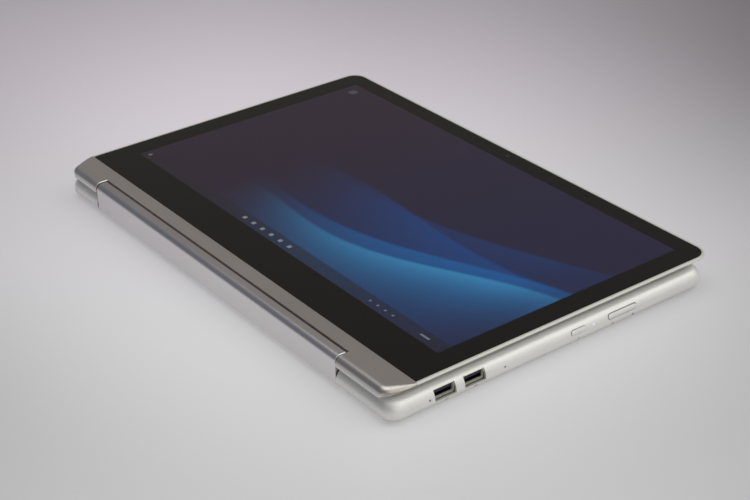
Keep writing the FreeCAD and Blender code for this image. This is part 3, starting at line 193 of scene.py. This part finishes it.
def make_brush_lines():
    """Fine lines of a brushed face, running along the hinge."""
    tree, given, out = new_group("Brush lines", [("Place", "Vector", None), ("Lines", "Float", 1.0)],
                                 ["Tone", "Height"])
    fine = noise(tree, stretch(tree, given["Place"], (14.0, 3600.0, 3600.0)), given["Lines"], 2.0, 0.65)
    broad = noise(tree, stretch(tree, given["Place"], (5.0, 700.0, 700.0)), given["Lines"], 2.0, 0.5)
    feed(tree, out["Tone"], calc(tree, "MULTIPLY_ADD", fine, 0.6, calc(tree, "MULTIPLY", broad, 0.4)))
    feed(tree, out["Height"], fine)
    return tree


def make_touch_marks():
    """Faint patches left by hands."""
    tree, given, out = new_group("Touch marks", [("Place", "Vector", None), ("Spread", "Float", 20.0)],
                                 ["Mask"])
    broad = noise(tree, given["Place"], given["Spread"], 4.0, 0.6)
    streaks = noise(tree, stretch(tree, given["Place"], (3.0, 1.0, 1.0)),
                    calc(tree, "MULTIPLY", given["Spread"], 6.0))
    patches = smooth(tree, broad, 0.48, 0.78)
    feed(tree, out["Mask"], calc(tree, "MULTIPLY", patches, smooth(tree, streaks, 0.3, 0.7, 0.5, 1.0)))
    return tree


def make_rounded_patch():
    """Mask of a soft-edged rounded rectangle about an offset of zero."""
    tree, given, out = new_group("Rounded patch", [
        ("X", "Float", 0.0), ("Y", "Float", 0.0), ("Half X", "Float", 0.002), ("Half Y", "Float", 0.002),
        ("Corner", "Float", 0.0006)], ["Mask"])
    beyond = []
    for axis in "XY":
        reach = calc(tree, "SUBTRACT", given["Half " + axis], given["Corner"])
        away = calc(tree, "SUBTRACT", calc(tree, "ABSOLUTE", given[axis]), reach)
        beyond.append(calc(tree, "MAXIMUM", away, 0.0))
    squares = calc(tree, "MULTIPLY_ADD", beyond[0], beyond[0], calc(tree, "MULTIPLY", beyond[1], beyond[1]))
    distance = calc(tree, "SUBTRACT", calc(tree, "SQRT", squares), given["Corner"])
    feed(tree, out["Mask"], smooth(tree, distance, -0.0001, 0.0002, 1.0, 0.0))
    return tree


GRAIN = make_blasted_grain()
BRUSH = make_brush_lines()
TOUCH = make_touch_marks()
PATCH = make_rounded_patch()


# Finishes
def new_finish(name):
    finish = bpy.data.materials.new(name)
    finish.use_nodes = True
    tree = finish.node_tree
    return finish, tree, tree.nodes["Principled BSDF"]


def roughen(tree, shader, height, strength, depth):
    bump = add(tree, "Bump")
    bump.inputs["Strength"].default_value = strength
    bump.inputs["Distance"].default_value = depth
    feed(tree, bump.inputs["Height"], height)
    feed(tree, shader.inputs["Normal"], bump.outputs[0])


def bright_cut(tree, cut, tint, gloss):
    """Turn the marked part of a metal face bright and smooth."""
    tint = mix_colour(tree, cut, tint, rgba(CUT_COLOUR))
    return tint, calc(tree, "MULTIPLY_ADD", cut, calc(tree, "SUBTRACT", CUT_ROUGHNESS, gloss), gloss)


def printed_marks(tree, place, tint, marks):
    """Small grey bars printed on the casing's right side."""
    axes = split(tree, place)
    right = smooth(tree, axes["X"], 0.10, 0.11)
    for y, z, half_y, half_z in marks:
        bar = place_group(tree, PATCH, X=calc(tree, "SUBTRACT", axes["Y"], y * MM),
                          Y=calc(tree, "SUBTRACT", axes["Z"], z * MM),
                          Half_X=half_y * MM, Half_Y=half_z * MM, Corner=PRINT_CORNER)["Mask"]
        ink = calc(tree, "MULTIPLY", calc(tree, "MULTIPLY", bar, right), PRINT_STRENGTH)
        tint = mix_colour(tree, ink, tint, PRINT_COLOUR)
    return tint


def aluminium(name, colour, dull, metal=1.0, brushed=False, cut_above=None, cut_ends=False, marks=(),
              painted_shade_within=None):
    """Satin metal, cut bright above a height or on its sloped end edges where these are asked for.

    A share of metal below one is the milky look of a thick anodised or painted skin. A brushed face is painted
    darker towards the right: painted shade. A socket's shell is painted dark, as shade, within a distance from
    the middle of the casing.
    """
    finish, tree, shader = new_finish(name)
    place = object_place(tree)
    grain = place_group(tree, GRAIN, Place=place)
    touch = place_group(tree, TOUCH, Place=place)["Mask"]
    tone = grain["Tone"]
    height = grain["Height"]
    if brushed:
        lines = place_group(tree, BRUSH, Place=place)
        tone = lines["Tone"]
        height = lines["Height"]
    tint = mix_colour(tree, smooth(tree, tone, 0.3, 0.7), rgba(colour, 0.93), rgba(colour, 1.05))
    tint = printed_marks(tree, place, tint, marks)
    if brushed:
        # Painted shade: the brushed face is painted darker towards the right
        tint = mix_colour(tree, smooth(tree, split(tree, place)["X"], -0.1, 0.15), tint, rgba(colour, 0.84))
    # Painted shade: deeper inside a socket the shell is painted dark, where shade falls
    if painted_shade_within is not None:
        aside = calc(tree, "ABSOLUTE", split(tree, place)["X"])
        painted_shade = smooth(tree, aside, painted_shade_within, painted_shade_within - SOCKET_SHADE)
        tint = mix_colour(tree, painted_shade, tint, SOCKET_PAINTED_SHADE)
    gloss = calc(tree, "MULTIPLY_ADD", grain["Gloss"], 0.04, dull - 0.02)
    gloss = calc(tree, "MULTIPLY_ADD", touch, 0.03, gloss)
    if cut_above is not None:
        cut = smooth(tree, split(tree, place)["Z"], cut_above - 0.05 * MM, cut_above + 0.02 * MM)
        tint, gloss = bright_cut(tree, cut, tint, gloss)
    if cut_ends:
        facing = split(tree, add(tree, "TexCoord").outputs["Normal"])
        aside = smooth(tree, calc(tree, "ABSOLUTE", facing["X"]), 0.25, 0.45)
        sloped = calc(tree, "MULTIPLY", smooth(tree, facing["Z"], 0.3, 0.45),
                      smooth(tree, facing["Z"], 0.86, 0.72))
        tint, gloss = bright_cut(tree, calc(tree, "MULTIPLY", aside, sloped), tint, gloss)
    feed(tree, shader.inputs["Base Color"], tint)
    feed(tree, shader.inputs["Roughness"], gloss)
    shader.inputs["Metallic"].default_value = metal
    roughen(tree, shader, height, 0.12 if brushed else 0.06, 0.02 * MM)
    return finish


def moulded(name, colour, dull, pits=1800.0, relief=0.1, coat=0.0):
    """Plain moulded plastic, rubber or lacquer with a fine grain."""
    finish, tree, shader = new_finish(name)
    place = object_place(tree)
    grain = place_group(tree, GRAIN, Place=place, Pits=pits)
    touch = place_group(tree, TOUCH, Place=place)["Mask"]
    tint = mix_colour(tree, smooth(tree, grain["Tone"], 0.3, 0.7), rgba(colour, 0.82), rgba(colour, 1.18))
    feed(tree, shader.inputs["Base Color"], tint)
    gloss = calc(tree, "MULTIPLY_ADD", grain["Gloss"], 0.12, dull - 0.06)
    feed(tree, shader.inputs["Roughness"], calc(tree, "MULTIPLY_ADD", touch, -0.06, gloss))
    shader.inputs["Coat Weight"].default_value = coat
    roughen(tree, shader, grain["Height"], relief, 0.05 * MM)
    return finish


def tongue_plastic(name, low_colour, high_colour, change):
    """Plastic of a socket's tongue, dark on its upper half where the shell hides it from the light."""
    finish, tree, shader = new_finish(name)
    place = object_place(tree)
    grain = place_group(tree, GRAIN, Place=place)
    high = smooth(tree, split(tree, place)["Z"], change - TONGUE_CHANGE, change + TONGUE_CHANGE)
    tint = mix_colour(tree, high, rgba(low_colour), rgba(high_colour))
    feed(tree, shader.inputs["Base Color"], mix_colour(tree, grain["Tone"], tint, rgba(high_colour)))
    shader.inputs["Roughness"].default_value = 0.5
    shader.inputs["Specular IOR Level"].default_value = 0.2
    return finish


def board_lacquer(name, colour):
    """Green lacquer with raised tracks under it."""
    finish, tree, shader = new_finish(name)
    place = object_place(tree)
    track = add(tree, "TexBrick", offset=0.37, squash=0.6)
    feed(tree, track.inputs["Vector"], place)
    track.inputs["Scale"].default_value = 260.0
    track.inputs["Mortar Size"].default_value = 0.06
    track.inputs["Color1"].default_value = rgba(colour, 0.85)
    track.inputs["Color2"].default_value = rgba(colour, 1.1)
    track.inputs["Mortar"].default_value = rgba(colour, 1.7)
    grain = place_group(tree, GRAIN, Place=place)
    feed(tree, shader.inputs["Base Color"], mix_colour(tree, 0.35, track.outputs[0], rgba(colour)))
    feed(tree, shader.inputs["Roughness"], calc(tree, "MULTIPLY_ADD", grain["Gloss"], 0.15, 0.3))
    roughen(tree, shader, track.outputs[1], 0.2, 0.04 * MM)
    return finish


def cover_glass(name):
    """Clear glass, glued to the display: only its upper face mirrors."""
    finish, tree, shader = new_finish(name)
    place = object_place(tree)
    touch = place_group(tree, TOUCH, Place=place, Spread=11.0)["Mask"]
    shader.inputs["Base Color"].default_value = (0.97, 0.98, 1.0, 1.0)
    shader.inputs["Transmission Weight"].default_value = 1.0
    low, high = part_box("display_glass")
    feed(tree, shader.inputs["IOR"], smooth(tree, split(tree, place)["Z"], low[2], high[2], 1.01, 1.5))
    feed(tree, shader.inputs["Roughness"], calc(tree, "MULTIPLY", touch, 0.035))
    return finish


def black_print(name):
    """Ink on the back of the glass."""
    finish, tree, shader = new_finish(name)
    grain = place_group(tree, GRAIN, Place=object_place(tree), Pits=1400.0)
    ink = mix_colour(tree, grain["Tone"], (0.0025, 0.0025, 0.003, 1.0), (0.0045, 0.0045, 0.005, 1.0))
    feed(tree, shader.inputs["Base Color"], ink)
    shader.inputs["Roughness"].default_value = 0.5
    shader.inputs["Specular IOR Level"].default_value = 0.1
    return finish


RIBBONS = (
    # crest height, swing, waves, phase, slope, fall, strength, colour
    (0.30, 0.10, 0.75, 0.4, 0.34, 0.24, 0.60, (0.002, 0.062, 0.25)),
    (0.18, 0.08, 0.95, 1.5, 0.30, 0.19, 0.75, (0.004, 0.125, 0.36)),
    (0.50, 0.13, 0.60, 2.6, 0.22, 0.30, 0.45, (0.003, 0.045, 0.18)),
    (0.05, 0.07, 1.20, 0.2, 0.38, 0.10, 0.75, (0.040, 0.27, 0.50)),
)


def screen_ribbons(tree, across, up):
    """Bands of blue light that sweep over a dusk-violet ground and fade towards its left."""
    ground = mix_colour(tree, smooth(tree, across, 0.0, 0.85), (0.017, 0.008, 0.021, 1.0),
                        (0.010, 0.009, 0.034, 1.0))
    window = calc(tree, "MULTIPLY", smooth(tree, across, 0.22, 0.80),
                  smooth(tree, across, 1.02, 0.86, 0.45, 1.0))
    for height, swing, waves, phase, slope, fall, strength, colour in RIBBONS:
        turn = calc(tree, "MULTIPLY_ADD", across, waves * math.tau, phase)
        crest = calc(tree, "MULTIPLY_ADD", calc(tree, "SINE", turn), swing, height)
        crest = calc(tree, "MULTIPLY_ADD", across, slope, crest)
        below = calc(tree, "SUBTRACT", crest, up)
        edge = smooth(tree, below, -0.004, 0.02)
        depth = calc(tree, "MAXIMUM", below, 0.0)
        fade = calc(tree, "EXPONENT", calc(tree, "MULTIPLY", depth, -1.0 / fall))
        light = calc(tree, "MULTIPLY", calc(tree, "MULTIPLY", edge, fade),
                     calc(tree, "MULTIPLY", window, strength))
        ground = mix_colour(tree, light, ground, rgba(colour))
    return ground


def icon_row(tree, x, y, first, pitch, count, half, corner):
    """A row of rounded squares along the screen."""
    step = calc(tree, "DIVIDE", calc(tree, "SUBTRACT", x, first), pitch)
    number = calc(tree, "ROUND", step)
    number = calc(tree, "MINIMUM", calc(tree, "MAXIMUM", number, 0.0), float(count - 1))
    offset = calc(tree, "MULTIPLY", calc(tree, "SUBTRACT", step, number), pitch)
    return place_group(tree, PATCH, X=offset, Y=y, Half_X=half[0], Half_Y=half[1], Corner=corner)["Mask"]


def lit_screen(name):
    """The display's picture: ribbons of light, a bar of plain marks and one mark in a corner."""
    finish, tree, shader = new_finish(name)
    low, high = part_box("display_glass")
    x0 = low[0] + SIDE_BEZEL
    y0 = low[1] + CHIN
    width = high[0] - SIDE_BEZEL - x0
    depth = high[1] - FRONT_BEZEL - y0
    axes = split(tree, object_place(tree))
    x = calc(tree, "SUBTRACT", axes["X"], x0)
    y = calc(tree, "SUBTRACT", axes["Y"], y0)
    picture = screen_ribbons(tree, calc(tree, "DIVIDE", x, width), calc(tree, "DIVIDE", y, depth))
    bar = smooth(tree, y, ICON_BAR, ICON_BAR - 0.1 * MM)
    picture = mix_colour(tree, calc(tree, "MULTIPLY", bar, 0.6), picture, (0.010, 0.009, 0.014, 1.0))
    middle = calc(tree, "SUBTRACT", y, ICON_BAR / 2)
    rows = (
        # first icon, pitch, count, half size, corner, brightness
        (5.0, 1.0, 1, (1.3, 1.3), 1.29, 0.14),
        (112.0, 9.0, 6, (1.3, 1.3), 0.5, 0.24),
        (232.0, 6.5, 4, (0.7, 0.7), 0.4, 0.18),
        (278.0, 1.0, 1, (3.6, 0.6), 0.4, 0.20),
    )
    for first, pitch, count, half, corner, light in rows:
        mask = icon_row(tree, x, middle, first * MM, pitch * MM, count, [h * MM for h in half], corner * MM)
        picture = mix_colour(tree, calc(tree, "MULTIPLY", mask, light), picture, (0.75, 0.80, 0.95, 1.0))
    corner_y = calc(tree, "SUBTRACT", y, depth - CORNER_MARK)
    mark = icon_row(tree, x, corner_y, CORNER_MARK, 1.0, 1, (2.6 * MM, 2.6 * MM), 0.7 * MM)
    picture = mix_colour(tree, calc(tree, "MULTIPLY", mark, 0.07), picture, (0.6, 0.75, 0.95, 1.0))
    shader.inputs["Base Color"].default_value = UNLIT_SCREEN
    shader.inputs["Roughness"].default_value = 0.5
    shader.inputs["Specular IOR Level"].default_value = 0.1
    feed(tree, shader.inputs["Emission Color"], picture)
    shader.inputs["Emission Strength"].default_value = 1.0
    return finish


def glow(name, colour, strength):
    """Small lit window."""
    finish, tree, shader = new_finish(name)
    grain = place_group(tree, GRAIN, Place=object_place(tree))
    for socket, least in (("Base Color", 0.8), ("Emission Color", 0.9)):
        tint = mix_colour(tree, grain["Tone"], rgba(colour, least), rgba(colour))
        feed(tree, shader.inputs[socket], tint)
    shader.inputs["Emission Strength"].default_value = strength
    shader.inputs["Roughness"].default_value = 0.3
    return finish


GLASS_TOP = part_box("display_glass")[1][2]
SOCKET_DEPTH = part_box("usb_socket_rear")[1][0] - SOCKET_LIP
CASING = aluminium("Satin_casing", (0.86, 0.855, 0.83), 0.42, metal=0.6, marks=SIDE_MARKS)
LID_CASING = aluminium("Satin_lid", (0.86, 0.855, 0.83), 0.42, metal=0.3, cut_above=GLASS_TOP - RIM_CHAMFER)
STRIP = aluminium("Brushed_strip", (0.68, 0.645, 0.62), 0.38, brushed=True, cut_ends=True)
SPINE = aluminium("Satin_spine", (0.71, 0.685, 0.69), 0.33)
STEEL = aluminium("Stamped_steel", (0.62, 0.61, 0.59), 0.34)
# The socket shells carry painted shade inside, past a lip at the mouth
SOCKET = aluminium("Plated_socket", (0.92, 0.90, 0.75), 0.28, metal=0.35, painted_shade_within=SOCKET_DEPTH)
COPPER = aluminium("Bare_copper", (0.80, 0.46, 0.30), 0.34)
GLASS = cover_glass("Cover_glass")
BORDER = black_print("Black_print")
SCREEN = lit_screen("Lit_screen")
BOARD = board_lacquer("Board_lacquer", (0.02, 0.12, 0.06))
PLASTIC = moulded("Black_plastic", (0.022, 0.022, 0.024), 0.45)
LENS_BLACK = moulded("Lens_black", (0.012, 0.012, 0.016), 0.12, coat=1.0)
KEY_BLACK = moulded("Key_black", (0.030, 0.030, 0.033), 0.5, pits=3000.0, relief=0.15)
PAD_SILVER = moulded("Pad_silver", (0.55, 0.54, 0.53), 0.38, relief=0.04)
TONGUE_LOW, TONGUE_HIGH = (corner[2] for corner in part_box("usb_tongues"))
TONGUE_BLUE = tongue_plastic("Tongue_blue", (0.10, 0.095, 0.13), (0.008, 0.006, 0.03),
                             (TONGUE_LOW + TONGUE_HIGH) / 2)
RUBBER = moulded("Black_rubber", (0.02, 0.02, 0.021), 0.75, pits=1200.0, relief=0.3)
LIGHT = glow("Status_glow", (0.70, 0.69, 0.82), 0.45)

FINISHES = {
    "bottom_cover": CASING, "keyboard_deck": CASING, "power_button": CASING, "volume_rocker": CASING,
    "lid_back_cover": LID_CASING, "hinge_strip": STRIP, "spine_cover": SPINE, "spine_front_plate": SPINE,
    "display_glass": GLASS, "glass_border": BORDER, "lcd_panel": SCREEN, "webcam_module": LENS_BLACK,
    "touchpad": PAD_SILVER, "usb_tongues": TONGUE_BLUE, "status_light": LIGHT, "rubber_feet": RUBBER,
    "heat_pipe": COPPER, "cooling_fins": COPPER,
}
for node_name in ("main_board", "port_board", "button_board", "panel_board", "solid_state_drive",
                  "wireless_card"):
    FINISHES[node_name] = BOARD
for node_name in ("fan_housing", "fan_impeller", "battery_pack", "speakers", "audio_jack", "power_jack",
                  "keyboard_membrane", "display_cable_base", "display_cable_spine", "display_cable_lid"):
    FINISHES[node_name] = PLASTIC
for node_name in ("usb_socket_rear", "usb_socket_front", "hdmi_socket", "usb_c_socket"):
    FINISHES[node_name] = SOCKET
for node_name in NODES:
    if node_name.startswith("key_row"):
        FINISHES[node_name] = KEY_BLACK


def dress_nodes():
    for name, node in NODES.items():
        node.data.materials.clear()
        node.data.materials.append(FINISHES.get(name, STEEL))


# Studio
def seen_directly(tree):
    """One where the camera, a reflection or a view through glass looks at the surface."""
    path = add(tree, "LightPath").outputs
    mirrored = calc(tree, "MAXIMUM", path["Is Glossy Ray"], path["Is Transmission Ray"])
    return calc(tree, "MAXIMUM", path["Is Camera Ray"], mirrored)


def table_tone(tree):
    """Pale table's tone with painted shade towards its far side and corners, and the share of far tint."""
    axes = split(tree, object_place(tree))
    far = calc(tree, "MULTIPLY_ADD", axes["X"], -0.81, calc(tree, "MULTIPLY", axes["Y"], 0.587))
    side = calc(tree, "MULTIPLY_ADD", axes["X"], 0.587, calc(tree, "MULTIPLY", axes["Y"], 0.81))
    aside = calc(tree, "ABSOLUTE", side)
    falls = (
        (calc(tree, "MULTIPLY_ADD", side, 0.9, far), -0.022, 0.554, 0.287),
        (calc(tree, "MULTIPLY_ADD", side, -0.6, far), 0.105, 0.473, 0.055),
        (calc(tree, "MULTIPLY_ADD", far, -1.0, calc(tree, "MULTIPLY", aside, 0.6)), 0.124, 0.318, 0.112),
        (aside, 0.051, 0.388, 0.228),
    )
    tone = TABLE_TONE
    # Painted shade: each fall darkens the table towards a far side or corner
    for reach, start, end, drop in falls:
        tone = calc(tree, "SUBTRACT", tone, smooth(tree, reach, start, end, 0.0, drop))
    return calc(tree, "MAXIMUM", tone, TABLE_LEAST_TONE), smooth(tree, far, -0.15, 0.3)


def make_floor():
    mesh = bpy.data.meshes.new("floor")
    corners = [(x * TABLE_REACH, y * TABLE_REACH, TABLE_LEVEL)
               for x, y in ((-1, -1), (1, -1), (1, 1), (-1, 1))]
    mesh.from_pydata(corners, [], [(0, 1, 2, 3)])
    floor = bpy.data.objects.new("floor", mesh)
    bpy.context.scene.collection.objects.link(floor)
    finish, tree, shader = new_finish("Pale_table")
    tone, far = table_tone(tree)
    tint = mix_colour(tree, far, TABLE_NEAR_TINT, TABLE_FAR_TINT)
    tint = mix_colour(tree, 1.0, tint, tone, "MULTIPLY")
    paint = mix_colour(tree, 1.0, tint, rgba((TABLE_PAINT,) * 3), "MULTIPLY")
    light = mix_colour(tree, seen_directly(tree), (0.0, 0.0, 0.0, 1.0), tint)
    feed(tree, shader.inputs["Base Color"], paint)
    feed(tree, shader.inputs["Emission Color"], light)
    shader.inputs["Emission Strength"].default_value = TABLE_GLOW
    shader.inputs["Roughness"].default_value = 0.6
    shader.inputs["Specular IOR Level"].default_value = 0.15
    floor.data.materials.append(finish)


def make_lamp(name, at, aim, size, power, colour):
    data = bpy.data.lights.new(name, "AREA")
    data.shape = "RECTANGLE"
    data.size, data.size_y = size
    data.energy = power
    data.color = colour
    lamp = bpy.data.objects.new(name, data)
    lamp.location = at
    lamp.rotation_euler = (Vector(aim) - Vector(at)).to_track_quat("-Z", "Y").to_euler()
    bpy.context.scene.collection.objects.link(lamp)


def make_world():
    """A dim room with a pale horizon: warm and bright to the right, dusk blue behind to the left."""
    world = bpy.data.worlds.new("Studio")
    bpy.context.scene.world = world
    world.use_nodes = True
    tree = world.node_tree
    background = tree.nodes["Background"]
    view = add(tree, "TexCoord").outputs["Generated"]
    sky = mix_colour(tree, smooth(tree, split(tree, view)["Z"], 0.0, 0.35), SKY_LOW, SKY_HIGH)

    def facing(towards):
        turn = add(tree, "VectorMath", operation="DOT_PRODUCT")
        feed(tree, turn.inputs[0], view)
        turn.inputs[1].default_value = Vector(towards).normalized()
        return turn.outputs["Value"]

    for towards, start, end, colour in ROOM_TONES:
        sky = mix_colour(tree, smooth(tree, facing(towards), start, end), sky, rgba(colour))
    fill = smooth(tree, facing(ROOM_BRIGHT_SIDE), -0.9, 0.9, *ROOM_LIGHT)
    feed(tree, background.inputs["Color"], mix_colour(tree, seen_directly(tree), fill, sky))
    background.inputs["Strength"].default_value = 1.0


def make_camera():
    data = bpy.data.cameras.new("camera")
    data.lens = LENS
    data.sensor_width = SENSOR_WIDTH
    data.sensor_fit = "HORIZONTAL"
    data.clip_start = 0.01
    camera = bpy.data.objects.new("camera", data)
    at = Vector(CAMERA_AT) * MM
    turn = (Vector(CAMERA_AIM) * MM - at).to_track_quat("-Z", "Y").to_matrix().to_4x4()
    lean = Matrix.Rotation(math.radians(-CAMERA_LEAN), 4, "Z")
    camera.matrix_world = Matrix.Translation(at) @ turn @ lean
    bpy.context.scene.collection.objects.link(camera)
    bpy.context.scene.camera = camera


dress_nodes()
make_floor()
for lamp in LAMPS:
    make_lamp(*lamp)
make_world()
make_camera()
bpy.context.scene.view_settings.view_transform = "Standard"
